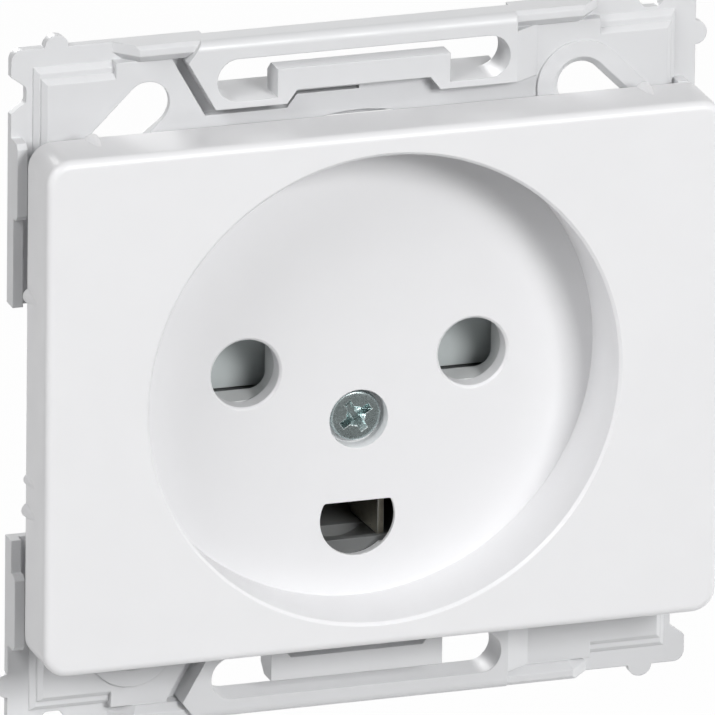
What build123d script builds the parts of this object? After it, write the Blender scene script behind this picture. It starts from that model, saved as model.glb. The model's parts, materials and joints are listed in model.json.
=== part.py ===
from build123d import *
import os
from math import hypot

# Earthed wall socket for two round pins and a half-round earth pin.
# X runs to the right, Y into the wall and Z up, in millimetres.
# The wall's surface is the plane Y = 0 and the pins' midpoint lies on the Y axis.

# Plug interface
PIN_PITCH = 19.0
PIN_HOLE_RADIUS = 2.85
PIN_HOLE_CHAMFER = 0.2
EARTH_DROP = 13.1
EARTH_HOLE_RADIUS = 3.15
EARTH_FLAT_RISE = 1.45
EARTH_CORNER_FILLET = 0.3
EARTH_LIP = 0.35
EARTH_ROOM_HALF = 4.6
EARTH_ROOM_RISE = 2.1
EARTH_ROOM_FALL = 2.7
EARTH_ROOM_MARGIN = 0.4
EARTH_NOTCH_DEPTH = 3.0
SCREW_DROP = 4.7

# Cover plate with the plug recess
PLATE_WIDTH = 56.4
PLATE_HEIGHT = 43.2
PLATE_CORNER_RADIUS = 2.0
PLATE_EDGE_FILLET = 0.7
PLATE_WALL = 1.6
PLATE_GAP = 1.2
RECESS_RADIUS = 19.6
RECESS_DEPTH = 6.7
RECESS_RIM_CHAMFER = 0.25
RECESS_WALL = 1.3
CUP_CHAMFER = 1.5
FLOOR_THICKNESS = 1.6
PLATE_RIB_THICKNESS = 1.0
PLATE_RIB_SPACING = 13.0
NUB_RADIUS = 0.65
NUB_TIP_RADIUS = 0.2
NUB_LENGTH = 2.6
NUB_SINK = 0.25
NUB_INSET = 0.1
NUB_ALONG_WIDTH = 23.0
NUB_ALONG_HEIGHT = 9.0
SMALL_NUB_RADIUS = 0.5
SMALL_NUB_DROP = 6.4

# Cover screw and its nut
SCREW_HEAD_RADIUS = 2.1
SCREW_HEAD_HEIGHT = 0.75
SCREW_HEAD_SINK = 0.7
SCREW_HEAD_CHAMFER = 0.25
SCREW_SHANK_RADIUS = 1.45
SCREW_LENGTH = 9.3
SCREW_CLEARANCE = 0.3
SCREW_POCKET_CLEARANCE = 0.35
SCREW_SEAT = 0.9
SCREW_BOSS_RADIUS = 4.0
NUT_WIDTH = 5.4
NUT_HEIGHT = 2.0
NUT_CLEARANCE = 0.1
NUT_THREAD_CLEARANCE = 0.03
NUT_BOSS_WALL = 1.0

# Support frame
FRAME_SIZE = 57.1
FRAME_DROP = 0.35
FRAME_CORNER_RADIUS = 0.9
BORDER_THICKNESS = 0.8
LEDGE_THICKNESS = 1.3
PANEL_THICKNESS = 1.8
PANEL_SHEET = 0.6
LEDGE_SIDE_BORDER = 1.8
LEDGE_TOP_BORDER = 1.55
PANEL_SIDE_STEP = 0.5
PANEL_TOP_STEP = 0.85
STEP_CHAMFER = 0.4
POCKET_START = 13.5
POCKET_WALL = 0.5
OPENING_RIM = 1.6
LINK_OFFSET = 24.8
LINK_BUMP_RADIUS = 1.0
LINK_BUMP_SINK = 0.05
LINK_NOTCH_HALF = 1.55
LINK_NOTCH_FLOOR_HALF = 0.6
LINK_NOTCH_DEPTH = 1.25
LINK_NOTCH_FILLET = 0.4
OPENING_CLEARANCE = 0.5
PRY_GROOVE_HALF = 3.8
PRY_GROOVE_HEIGHT = 0.5
PRY_GROOVE_DEPTH = 0.75

# Rails along the frame's sides, with a gap between them
RAIL_WIDTH = 0.85
RAIL_THICKNESS = 1.6
RAIL_STEP = 14.9
RAIL_STEP_THICKNESS = 2.6
RAIL_END = 21.3
RAIL_CHAMFER = 0.4
RIGHT_RAIL_INSET = 1.05
SIDE_GAP_ABOVE = 7.4
SIDE_GAP_BELOW = 12.2
SIDE_WEB = 2.35

# Raised pads at the frame's top and bottom, with the long slots, tongues and ears
PAD_THICKNESS = 3.1
PAD_RIB_HALF = 13.4
PAD_SHOULDER_HALF = 14.6
PAD_SHOULDER_DROP = 1.65
PAD_FOOT_HALF = 12.3
PAD_FOOT_WALL = 0.57
PAD_END = 12.8
PAD_RAMP_END = 14.9
PAD_CUT_HALF = 5.55
PAD_CUT_SLANT = 0.85
PAD_CUT_HEIGHT = 1.1
PAD_GROOVE = 0.8
PAD_RIB_FILLET = 0.8
RIB_REBATE_DEPTH = 0.7
RIB_REBATE_HEIGHT = 1.0
LONG_SLOT_HALF = 12.2
LONG_SLOT_WEB = 2.9
LONG_SLOT_RIB = 1.6
SLOT_FLANGE_DEPTH = 2.3
SLOT_FLANGE_THICKNESS = 1.1
TONGUE_HALF = 7.2
TONGUE_HEIGHT = 2.4
TONGUE_TIP_THICKNESS = 1.8
TONGUE_TAPER = 0.8
TONGUE_BACK = 0.4
EAR_START = 12.4
EAR_END = 18.5
EAR_FOOT = 20.2
EAR_HEIGHT = 1.45
EAR_THICKNESS = 2.6
EAR_CHAMFER = 0.3
EAR_INNER_CHAMFER = 0.6

# Diagonal fixing slots in the frame's corners, the first in the upper right and the rest to its left
FIXING_RADII = (28.5, 29.0, 28.5, 28.5)
FIXING_SLOT_WIDTH = 3.7
FIXING_SLOT_LENGTHS = (8.2, 12.0, 8.2, 8.2)
FIXING_COLLAR_WIDTH = 1.85
FIXING_COLLAR_RISE = 0.25
FIXING_MOUTH_CHAMFER = 0.5

# Rear housing and its inner lid
BASE_WIDTH = 38.4
BASE_TOP = 13.2
BASE_BOTTOM = 17.2
BASE_DEPTH = 20.0
BASE_CORNER_RADIUS = 2.5
BASE_WALL = 1.5
BASE_REAR_WALL = 2.0
BASE_REAR_BEVEL_LENGTH = 5.0
BASE_REAR_BEVEL_DROP = 2.2
LID_RIM = 1.2
LID_PLUG = 1.5
LID_CLEARANCE = 0.15
CHAMBER_DEPTH = 4.4
PARTITION_WALL = 1.3
WELL_WIDTH = 6.0
WELL_HEIGHT = 5.6
WELL_CORNER_RADIUS = 1.4

# Latch arms that hold the housing in the frame, and hooks that hold the lid
LATCH_HEIGHT = 9.0
LATCH_ARM = 1.0
LATCH_NOSE = 0.8
LATCH_NOSE_LENGTH = 0.9
LATCH_CLEARANCE = 0.1
LATCH_ROOT_LENGTH = 4.5
WING_THICKNESS = 0.9
WING_REACH = 1.6
HOOK_WIDTH = 9.0
HOOK_ARM = 0.9
HOOK_NOSE = 0.9
HOOK_NOSE_LENGTH = 0.6

# Shutter and its spring
SHUTTER_TRAVEL = 6.0
SHUTTER_THICKNESS = 2.4
SHUTTER_LOBE_WIDTH = 7.0
SHUTTER_LOBE_HEIGHT = 6.2
SHUTTER_BRIDGE_DROP = 0.5
SHUTTER_RAMP_DEPTH = 1.3
SHUTTER_CLEARANCE = 0.2
SHUTTER_STOP = 1.2
SPRING_RADIUS = 1.1
SPRING_WIRE_RADIUS = 0.175
SPRING_WIRE_SIDES = 6
SPRING_TURNS = 6
SPRING_PEG_RADIUS = 0.7
SPRING_PEG_LENGTH = 1.8
SPRING_SEAT_CLEARANCE = 0.1

# Contacts, clamp springs and release buttons
CONTACT_THICKNESS = 0.5
CONTACT_HEIGHT = 5.2
CONTACT_MOUTH = 2.9
CONTACT_THROAT = 2.15
CONTACT_HALF = 2.55
CONTACT_MOUTH_LENGTH = 2.0
CONTACT_THROAT_LENGTH = 2.8
EARTH_CONTACT_FRONT = -0.6
EARTH_CONTACT_MOUTH = 2.7
EARTH_CONTACT_THROAT = 2.35
EARTH_CONTACT_HALF = 2.9
EARTH_CONTACT_MOUTH_LENGTH = 5.7
EARTH_CONTACT_HEIGHT = 4.45
EARTH_CONTACT_BELOW = 2.4
EARTH_TAB_DROP = 1.2
CONTACT_FLOOR_GAP = 1.15
CONTACT_BEND_RADIUS = 0.6
CONTACT_CLEARANCE = 0.5
BUS_THICKNESS = 0.8
BUS_HALF_SPAN = 6.9
BUS_LENGTH = 9.3
PORT_RADIUS = 1.25
PORT_FUNNEL = 0.3
PORT_SPREAD = 4.8
PORT_WALL_GAP = 0.1
CELL_DEPTH = 4.1
CELL_HALF_SPAN = 7.3
CLAMP_THICKNESS = 0.35
CLAMP_WIDTH = 4.2
CLAMP_LEG = 7.6
CLAMP_BEND = 1.2
CLAMP_TIP_GAP = 0.12
CLAMP_SEAT_GAP = 0.1
CLAMP_BACK_GAP = 0.5
CLAMP_BEND_RADIUS = 0.5
RELEASE_TRAVEL = 1.5
RELEASE_HALF_SPAN = 3.0
RELEASE_WIDTH = 1.9
RELEASE_PROUD = 0.8
RELEASE_CLEARANCE = 0.3
RELEASE_BUS_GAP = 0.25
RELEASE_TIP = 0.4
RELEASE_WINDOW_GAP = 0.2
RELEASE_SHOULDER = 0.7
RELEASE_SHOULDER_WIDTH = 1.2
RELEASE_SHOULDER_HALF_SPAN = 2.2
RELEASE_SLOT_WIDTH = 0.8
RELEASE_SLOT_DEPTH = 0.5

# Depths worked out from the sizes above, negative in front of the wall
lid_front = -LID_RIM
floor_back = lid_front
floor_front = floor_back - FLOOR_THICKNESS
plate_front = floor_front - RECESS_DEPTH
plate_back = -PAD_THICKNESS - PLATE_GAP
screw_top = floor_front + SCREW_HEAD_SINK
screw_seat = screw_top + SCREW_HEAD_HEIGHT
screw_boss_back = screw_seat + SCREW_SEAT
shutter_front = LID_PLUG + SHUTTER_CLEARANCE
shutter_back = shutter_front + SHUTTER_THICKNESS
nut_back = CHAMBER_DEPTH - 2 * NUT_CLEARANCE
nut_front = nut_back - NUT_HEIGHT
nut_boss_back = CHAMBER_DEPTH - NUT_CLEARANCE
base_floor = BASE_DEPTH - BASE_REAR_WALL
contact_back = base_floor - CONTACT_FLOOR_GAP

# Widths and heights worked out from the sizes above
cup_radius = RECESS_RADIUS + RECESS_WALL
frame_half = FRAME_SIZE / 2
base_height = BASE_TOP + BASE_BOTTOM
base_centre = (BASE_TOP - BASE_BOTTOM) / 2
base_half = BASE_WIDTH / 2
corner_reach = hypot(base_half - BASE_CORNER_RADIUS, BASE_BOTTOM - BASE_CORNER_RADIUS) + BASE_CORNER_RADIUS
nut_boss_width = NUT_WIDTH + 2 * NUT_CLEARANCE + 2 * NUT_BOSS_WALL
arm_inner = cup_radius + LATCH_CLEARANCE + OPENING_CLEARANCE / 2
arm_outer = arm_inner + LATCH_ARM
opening_half_width = arm_outer + OPENING_CLEARANCE / 2
cup_reach = cup_radius - CUP_CHAMFER + PANEL_THICKNESS - LID_RIM
opening_half_height = cup_reach + OPENING_CLEARANCE
slot_inner = opening_half_height + LONG_SLOT_WEB
slot_outer = frame_half - LONG_SLOT_RIB
slot_middle = (slot_outer + slot_inner) / 2
pad_foot = slot_inner - PAD_FOOT_WALL
ear_low = frame_half - EAR_HEIGHT
spring_bottom = SHUTTER_LOBE_HEIGHT / 2
spring_top = BASE_TOP - BASE_WALL
bus_face = base_half - BASE_WALL - CELL_DEPTH
earth_bus_face = BASE_BOTTOM - BASE_WALL - CELL_DEPTH
earth_cell_offset = base_half - BASE_WALL - CELL_HALF_SPAN
wing_back = -LATCH_CLEARANCE
wing_front = wing_back - WING_THICKNESS
nose_back = -PANEL_THICKNESS - LATCH_CLEARANCE
nose_front = nose_back - LATCH_NOSE_LENGTH
clamp_back = contact_back - CLAMP_BACK_GAP
clamp_front = clamp_back - CLAMP_LEG
clamp_seat = CELL_DEPTH - CLAMP_SEAT_GAP - CLAMP_THICKNESS / 2
clamp_tip = CLAMP_TIP_GAP + CLAMP_THICKNESS / 2
port_offset = PORT_RADIUS + PORT_WALL_GAP

# One terminal cell for each pole: x outwards from the terminal plate, y into the wall, z along the plate
CELLS = {
    "live": Plane(origin=(-bus_face, 0, 0), x_dir=(-1, 0, 0), z_dir=(0, 0, -1)),
    "neutral": Plane(origin=(bus_face, 0, 0), x_dir=(1, 0, 0), z_dir=(0, 0, 1)),
    "earth": Plane(origin=(earth_cell_offset, 0, -earth_bus_face), x_dir=(0, 0, -1), z_dir=(1, 0, 0)),
}


def prism(outline, front, back):
    """A solid from an outline drawn in X and Z, between two depths in Y."""
    return extrude(Plane.XZ.offset(-back) * outline, amount=back - front)


def block(left, right, front, back, low, high):
    """A box between its faces."""
    outline = Pos((left + right) / 2, (low + high) / 2) * Rectangle(right - left, high - low)
    return prism(outline, front, back)


def strip(points, thickness, half_height, bend_radius):
    """A bent strip of sheet metal, from its middle line in X and Y, spread evenly in Z."""
    line = FilletPolyline(*points, radius=bend_radius)
    return extrude(trace(line, line_width=thickness), amount=half_height, both=True)


def base_outline(inset):
    """The rear housing's outline, drawn in by an inset."""
    radius = BASE_CORNER_RADIUS - inset if BASE_CORNER_RADIUS > 2 * inset else BASE_CORNER_RADIUS / 2
    return Pos(0, base_centre) * RectangleRounded(BASE_WIDTH - 2 * inset, base_height - 2 * inset, radius)


def earth_outline(growth):
    """The half-round earth hole, flat side up, with rounded corners."""
    radius = EARTH_HOLE_RADIUS + growth
    above = Pos(0, EARTH_FLAT_RISE + growth + radius) * Rectangle(2 * radius, 2 * radius)
    shape = Circle(radius) - above
    shape = fillet(shape.vertices().sort_by(Axis.Y)[-2:], EARTH_CORNER_FILLET)
    return Pos(0, -EARTH_DROP) * shape


def earth_room():
    """Outline of the wider room behind the earth hole's thin lip, where the contact's leaves stand."""
    height = EARTH_ROOM_RISE + EARTH_ROOM_FALL
    middle = (EARTH_ROOM_RISE - EARTH_ROOM_FALL) / 2 - EARTH_DROP
    return earth_outline(EARTH_ROOM_MARGIN) + Pos(0, middle) * Rectangle(2 * EARTH_ROOM_HALF, height)


def cover_plate():
    """Moulded front plate: a skirt, the recess cup with its holes, and ribs between them."""
    skirt = prism(RectangleRounded(PLATE_WIDTH, PLATE_HEIGHT, PLATE_CORNER_RADIUS), plate_front, plate_back)
    skirt = fillet(skirt.faces().sort_by(Axis.Y)[0].edges(), PLATE_EDGE_FILLET)
    hollow_width = PLATE_WIDTH - 2 * PLATE_WALL
    hollow_height = PLATE_HEIGHT - 2 * PLATE_WALL
    hollow_outline = RectangleRounded(hollow_width, hollow_height, PLATE_CORNER_RADIUS - PLATE_WALL)
    hollow = prism(hollow_outline, plate_front + PLATE_WALL, plate_back)
    plate = skirt - hollow
    for height in (-PLATE_RIB_SPACING / 2, PLATE_RIB_SPACING / 2):
        rib = Pos(0, height) * Rectangle(PLATE_WIDTH - PLATE_WALL, PLATE_RIB_THICKNESS)
        plate += prism(rib, plate_front + PLATE_WALL / 2, plate_back - PLATE_WALL / 2)
    cup = prism(Circle(cup_radius), plate_front + PLATE_WALL / 2, floor_back)
    cup = chamfer(cup.faces().sort_by(Axis.Y)[-1].edges(), CUP_CHAMFER)
    plate += cup
    plate += prism(Pos(0, -SCREW_DROP) * Circle(SCREW_BOSS_RADIUS), floor_back, screw_boss_back)
    plate -= prism(Circle(RECESS_RADIUS), plate_front, floor_front)
    rim = Cone(RECESS_RADIUS, RECESS_RADIUS + RECESS_RIM_CHAMFER, RECESS_RIM_CHAMFER)
    plate -= Pos(0, plate_front + RECESS_RIM_CHAMFER / 2, 0) * Rot(90, 0, 0) * rim
    for side in (-1, 1):
        across = side * PIN_PITCH / 2
        plate -= prism(Pos(across, 0) * Circle(PIN_HOLE_RADIUS), floor_front, floor_back)
        mouth = Cone(PIN_HOLE_RADIUS, PIN_HOLE_RADIUS + PIN_HOLE_CHAMFER, PIN_HOLE_CHAMFER)
        plate -= Pos(across, floor_front + PIN_HOLE_CHAMFER / 2, 0) * Rot(90, 0, 0) * mouth
    plate -= prism(earth_outline(0), floor_front, floor_back)
    plate -= prism(earth_room(), floor_front + EARTH_LIP, floor_back)
    screw_place = Pos(0, -SCREW_DROP)
    plate -= prism(screw_place * Circle(SCREW_HEAD_RADIUS + SCREW_POCKET_CLEARANCE), floor_front, screw_seat)
    plate -= prism(screw_place * Circle(SCREW_SHANK_RADIUS + SCREW_CLEARANCE), screw_seat, screw_boss_back)
    nub = Rot(90, 0, 0) * Cone(NUB_RADIUS, NUB_TIP_RADIUS, NUB_LENGTH)
    small_nub = Rot(90, 0, 0) * Cone(SMALL_NUB_RADIUS, NUB_TIP_RADIUS, NUB_LENGTH)
    nub_depth = plate_back - NUB_INSET - NUB_LENGTH / 2
    nub_across = PLATE_WIDTH / 2 - NUB_SINK
    nub_height = PLATE_HEIGHT / 2 - NUB_SINK
    for side in (-1, 1):
        for end in (-1, 1):
            plate += Pos(end * NUB_ALONG_WIDTH, nub_depth, side * nub_height) * nub
            plate += Pos(side * nub_across, nub_depth, end * NUB_ALONG_HEIGHT) * nub
    return plate + Pos(-nub_across, nub_depth, -SMALL_NUB_DROP) * small_nub


def cover_screw():
    """Cheese-head screw that pulls the plate onto the inner lid."""
    place = Pos(0, -SCREW_DROP)
    head = prism(place * Circle(SCREW_HEAD_RADIUS), screw_top, screw_seat)
    head = chamfer(head.faces().sort_by(Axis.Y)[0].edges(), SCREW_HEAD_CHAMFER)
    return head + prism(place * Circle(SCREW_SHANK_RADIUS), screw_seat, screw_seat + SCREW_LENGTH)


def screw_nut():
    """Square nut held in the inner lid's boss."""
    place = Pos(0, -SCREW_DROP)
    thread = Circle(SCREW_SHANK_RADIUS + NUT_THREAD_CLEARANCE)
    return prism(place * (Rectangle(NUT_WIDTH, NUT_WIDTH) - thread), nut_front, nut_back)


def pad_cut():
    """Outline of the cut in the pad's lower edge, under the tongue."""
    foot_half = PAD_CUT_HALF + PAD_CUT_SLANT
    top = pad_foot + PAD_CUT_HEIGHT
    points = [(-foot_half, pad_foot), (-PAD_CUT_HALF, top), (PAD_CUT_HALF, top), (foot_half, pad_foot)]
    return make_face(Polyline(*points, close=True))


def pad_outline():
    """The raised pad at the frame's top edge: pointed at its left end and cut back under the tongue."""
    cut = pad_foot + PAD_CUT_HEIGHT
    points = [
        (-PAD_CUT_HALF, cut),
        (PAD_CUT_HALF, cut),
        (PAD_CUT_HALF + PAD_CUT_SLANT, pad_foot),
        (PAD_END, pad_foot),
        (PAD_END, frame_half),
        (-PAD_RIB_HALF, frame_half),
        (-PAD_SHOULDER_HALF, frame_half - PAD_SHOULDER_DROP),
        (-PAD_FOOT_HALF, pad_foot),
        (-PAD_CUT_HALF - PAD_CUT_SLANT, pad_foot),
    ]
    return make_face(Polyline(*points, close=True))


def both_ends(piece):
    """A piece at the frame's top, and its mirror image at the bottom."""
    return piece + mirror(piece, about=Plane.XY)


def both_sides(piece):
    """A piece at the frame's right, and its mirror image at the left."""
    return piece + mirror(piece, about=Plane.YZ)


def raised_step(side_step, top_step, thickness):
    """One step of the frame's corner panels, with bevelled front edges, carried on between the ears."""
    width = FRAME_SIZE - 2 * (LEDGE_SIDE_BORDER + side_step)
    height = FRAME_SIZE - 2 * (LEDGE_TOP_BORDER + top_step)
    step = prism(Rectangle(width, height), -thickness, 0)
    step = chamfer(step.faces().sort_by(Axis.Y)[0].edges(), STEP_CHAMFER)
    return step + block(-EAR_FOOT, EAR_FOOT, -thickness, 0, -ear_low, ear_low)


def link_notch():
    """Notch in the frame's top edge, with sloping sides."""
    points = [
        (-LINK_NOTCH_HALF, 0),
        (LINK_NOTCH_HALF, 0),
        (LINK_NOTCH_FLOOR_HALF, -LINK_NOTCH_DEPTH),
        (-LINK_NOTCH_FLOOR_HALF, -LINK_NOTCH_DEPTH),
    ]
    notch = make_face(Polyline(*points, close=True))
    return fillet(notch.vertices().sort_by(Axis.Y)[:2], LINK_NOTCH_FILLET)


def frame_opening():
    """The frame's opening for the housing and the recess cup."""
    return Rectangle(2 * opening_half_width, 2 * opening_half_height) & Circle(corner_reach + OPENING_CLEARANCE)


def pry_groove():
    """Shallow bowed groove in front of the opening's upper edge, for the tip of a tool behind the plate."""
    radius = (PRY_GROOVE_HALF**2 + PRY_GROOVE_HEIGHT**2) / (2 * PRY_GROOVE_HEIGHT)
    bow = Pos(0, opening_half_height + PRY_GROOVE_HEIGHT - radius) * Circle(radius)
    return prism(bow, -PANEL_THICKNESS, PRY_GROOVE_DEPTH - PANEL_THICKNESS)


def corner_pockets(pads):
    """Hollows behind the corner panels, clear of the pads and of a rim round the opening."""
    outer_x = frame_half - LEDGE_SIDE_BORDER - PANEL_SIDE_STEP - POCKET_WALL
    outer_z = frame_half - LEDGE_TOP_BORDER - PANEL_TOP_STEP - POCKET_WALL
    width = outer_x - POCKET_START
    height = outer_z - POCKET_START
    pocket = Pos(POCKET_START + width / 2, POCKET_START + height / 2) * Rectangle(width, height)
    pocket -= Circle(corner_reach + OPENING_CLEARANCE + OPENING_RIM)
    half = pocket + mirror(pocket, about=Plane.YZ)
    return half + mirror(half, about=Plane.XZ) - offset(pads, POCKET_WALL, kind=Kind.INTERSECTION)


def ear():
    """Raised bar at the upper right of the frame's edge, bevelled, with a ramp at its outer end."""
    profile = [
        (EAR_START, 0),
        (EAR_START, -EAR_THICKNESS),
        (EAR_END, -EAR_THICKNESS),
        (EAR_FOOT, -BORDER_THICKNESS),
        (EAR_FOOT, 0),
    ]
    bar = Pos(0, 0, ear_low) * extrude(make_face(Polyline(*profile, close=True)), amount=EAR_HEIGHT)
    bar = chamfer(bar.faces().sort_by(Axis.Y)[0].edges().sort_by(Axis.Z)[-1], EAR_CHAMFER)
    inner = bar.faces().sort_by(Axis.Z)[0].edges().filter_by_position(Axis.Y, -EAR_THICKNESS, -BORDER_THICKNESS)
    return chamfer(inner.sort_by(Axis.X)[1:], EAR_INNER_CHAMFER)


def raised_pad():
    """The top pad with its long slot, a rounded outer rib and a ramp down to the right-hand panel."""
    pad = prism(pad_outline(), -PAD_THICKNESS, 0)
    rib_edge = pad.faces().sort_by(Axis.Y)[0].edges().sort_by(Axis.Z)[-1]
    pad = fillet(rib_edge, PAD_RIB_FILLET)
    profile = [
        (PAD_END, 0),
        (PAD_END, -PAD_THICKNESS),
        (PAD_RAMP_END, -PANEL_THICKNESS),
        (PAD_RAMP_END, 0),
    ]
    ramp = extrude(make_face(Polyline(*profile, close=True)), amount=ear_low - pad_foot)
    return pad + Pos(0, 0, pad_foot) * ramp


def tongue():
    """Bar in the top slot, level with the pad's front, thinner at its tip, and the flange behind it."""
    tip = slot_inner + TONGUE_HEIGHT
    profile = [
        (-PAD_THICKNESS, slot_inner),
        (-PAD_THICKNESS, tip),
        (TONGUE_TIP_THICKNESS - PAD_THICKNESS, tip),
        (-TONGUE_BACK, tip - TONGUE_TAPER),
        (-TONGUE_BACK, slot_inner),
    ]
    bar = extrude(make_face(Plane.YZ * Polyline(*profile, close=True)), amount=TONGUE_HALF, both=True)
    bar -= prism(pad_cut(), -PAD_THICKNESS, -PANEL_THICKNESS)
    low = slot_inner - SLOT_FLANGE_THICKNESS
    return bar + block(-LONG_SLOT_HALF, LONG_SLOT_HALF, -BORDER_THICKNESS, SLOT_FLANGE_DEPTH, low, slot_inner)


def side_rail(inset):
    """Upper half of the rail along the frame's right edge, higher towards the corner."""
    outer = frame_half - inset
    inner = outer - RAIL_WIDTH
    rail = block(inner, outer, -RAIL_THICKNESS, 0, 0, RAIL_STEP)
    high = block(inner, outer, -RAIL_STEP_THICKNESS, 0, RAIL_STEP, RAIL_END)
    return rail + chamfer(high.faces().sort_by(Axis.Y)[0].edges().filter_by(Axis.X), RAIL_CHAMFER)


def fixing_slot(corner, growth):
    """Outline of the diagonal slot in one corner, grown all round."""
    place = Rot(0, 0, 45 + 90 * corner) * Pos(FIXING_RADII[corner], 0) * Rot(0, 0, 90)
    return place * SlotOverall(FIXING_SLOT_LENGTHS[corner] + 2 * growth, FIXING_SLOT_WIDTH + 2 * growth)


def fixing_mouth(corner):
    """The bevel at the front of a collared slot."""
    floor = FIXING_MOUTH_CHAMFER - PANEL_THICKNESS - FIXING_COLLAR_RISE
    mouth = prism(fixing_slot(corner, FIXING_MOUTH_CHAMFER), -PAD_THICKNESS, floor)
    return chamfer(mouth.faces().sort_by(Axis.Y)[-1].edges(), FIXING_MOUTH_CHAMFER)


def support_frame():
    """Square moulded frame: thin border, stepped panels, raised pads, slots, tongues, rails and interlocks."""
    border = RectangleRounded(FRAME_SIZE, FRAME_SIZE, FRAME_CORNER_RADIUS)
    for turn in range(4):
        quarter = Rot(0, 0, 90 * turn)
        border += quarter * Pos(-LINK_OFFSET, frame_half - LINK_BUMP_SINK) * Circle(LINK_BUMP_RADIUS)
        border -= quarter * Pos(LINK_OFFSET, frame_half) * link_notch()
    frame = prism(border, -BORDER_THICKNESS, 0)
    frame += raised_step(0, 0, LEDGE_THICKNESS) + raised_step(PANEL_SIDE_STEP, PANEL_TOP_STEP, PANEL_THICKNESS)
    pads = offset(pad_outline(), PAD_GROOVE, kind=Kind.INTERSECTION)
    pads += mirror(pads, about=Plane.XZ)
    frame -= prism(corner_pockets(pads), PANEL_SHEET - PANEL_THICKNESS, 0)
    grooves = pads & Pos(-FRAME_SIZE / 2, 0) * Rectangle(FRAME_SIZE, FRAME_SIZE)
    frame -= prism(grooves, -PANEL_THICKNESS, -BORDER_THICKNESS)
    frame += both_sides(both_ends(ear())) + both_ends(raised_pad())
    frame += both_ends(side_rail(RIGHT_RAIL_INSET)) + both_ends(mirror(side_rail(0), about=Plane.YZ))
    for corner in (0, 2):
        collar = fixing_slot(corner, FIXING_COLLAR_WIDTH) - pads
        frame += prism(collar, -PANEL_THICKNESS - FIXING_COLLAR_RISE, PANEL_SHEET - PANEL_THICKNESS)
        frame -= fixing_mouth(corner)
    for corner in range(4):
        frame -= prism(fixing_slot(corner, 0), -PAD_THICKNESS, 0)
    long_slot = prism(SlotOverall(2 * LONG_SLOT_HALF, slot_outer - slot_inner), -PAD_THICKNESS, 0)
    rebate_low = frame_half - RIB_REBATE_HEIGHT
    rebate = block(-PAD_END, PAD_END, -RIB_REBATE_DEPTH, 0, rebate_low, frame_half)
    frame -= both_ends(Pos(0, 0, slot_middle) * long_slot + rebate)
    gap_height = SIDE_GAP_ABOVE + SIDE_GAP_BELOW
    gap_middle = (SIDE_GAP_ABOVE - SIDE_GAP_BELOW) / 2
    gap_depth = frame_half - opening_half_width - SIDE_WEB
    gap = prism(Pos(-frame_half, gap_middle) * Rectangle(2 * gap_depth, gap_height), -RAIL_STEP_THICKNESS, 0)
    frame = Pos(0, 0, -FRAME_DROP) * (frame - gap - Rot(0, 180, 0) * gap)
    frame -= prism(frame_opening(), -PAD_THICKNESS, 0) + both_ends(pry_groove())
    frame += Pos(0, 0, -FRAME_DROP) * both_ends(tongue())
    wing_outer = opening_half_width + WING_REACH + LATCH_CLEARANCE
    rebate_half = LATCH_HEIGHT / 2 + LATCH_CLEARANCE
    return frame - block(-wing_outer, wing_outer, -WING_THICKNESS - LATCH_CLEARANCE, 0, -rebate_half, rebate_half)


def latch():
    """Right-hand wing and latch arm: the frame's edge is held between the wing and the arm's nose."""
    half = LATCH_HEIGHT / 2
    root = block(base_half - BASE_WALL / 2, arm_inner, 0, LATCH_ROOT_LENGTH, -half, half)
    root -= block(0, base_half + LATCH_CLEARANCE, lid_front, LATCH_CLEARANCE, -half, half)
    link = block(base_half + LATCH_CLEARANCE, arm_outer, wing_front, LATCH_CLEARANCE, -half, half)
    wing = block(arm_inner, opening_half_width + WING_REACH, wing_front, wing_back, -half, half)
    nose_reach = opening_half_width + LATCH_NOSE
    profile = [
        (arm_inner, wing_back),
        (arm_inner, nose_front),
        (arm_outer, nose_front),
        (nose_reach, nose_back - LATCH_NOSE_LENGTH / 3),
        (nose_reach, nose_back),
        (arm_outer, nose_back),
        (arm_outer, wing_back),
    ]
    arm = extrude(make_face(Polyline(*profile, close=True)), amount=half, both=True)
    return root + link + wing + arm


def hook_profile(growth):
    """Outline in Y and Z of a lid hook at the housing's top wall, grown to make its notch in the lid."""
    outer = BASE_TOP
    inner = outer - HOOK_ARM - growth
    tip = inner - HOOK_NOSE
    nose_end = lid_front + HOOK_NOSE_LENGTH + growth
    points = [(0, outer), (lid_front, outer), (lid_front, tip), (nose_end, tip), (nose_end, inner), (0, inner)]
    return make_face(Plane.YZ * Polyline(*points, close=True))


def hooks(growth):
    """The lid hooks at the housing's top and bottom walls."""
    top = extrude(hook_profile(growth), amount=HOOK_WIDTH / 2 + growth, both=True)
    return top + Pos(0, 0, 2 * base_centre) * mirror(top, about=Plane.XY)


def release_window():
    """The opening for a release button in the rear wall, in its terminal cell."""
    width = RELEASE_WIDTH + 2 * RELEASE_WINDOW_GAP
    span = 2 * RELEASE_HALF_SPAN + 2 * RELEASE_WINDOW_GAP
    place = Pos(RELEASE_BUS_GAP + RELEASE_WIDTH / 2, base_floor + BASE_REAR_WALL / 2, 0)
    return place * Box(width, BASE_REAR_WALL, span)


def wire_port(along):
    """A wire port in the rear wall with a funnel mouth, in its terminal cell."""
    hole = Pos(port_offset, base_floor + BASE_REAR_WALL / 2, along)
    mouth = Pos(port_offset, BASE_DEPTH - PORT_FUNNEL / 2, along)
    bore = hole * Rot(-90, 0, 0) * Cylinder(PORT_RADIUS, BASE_REAR_WALL)
    return bore + mouth * Rot(-90, 0, 0) * Cone(PORT_RADIUS, PORT_RADIUS + PORT_FUNNEL, PORT_FUNNEL)


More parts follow.
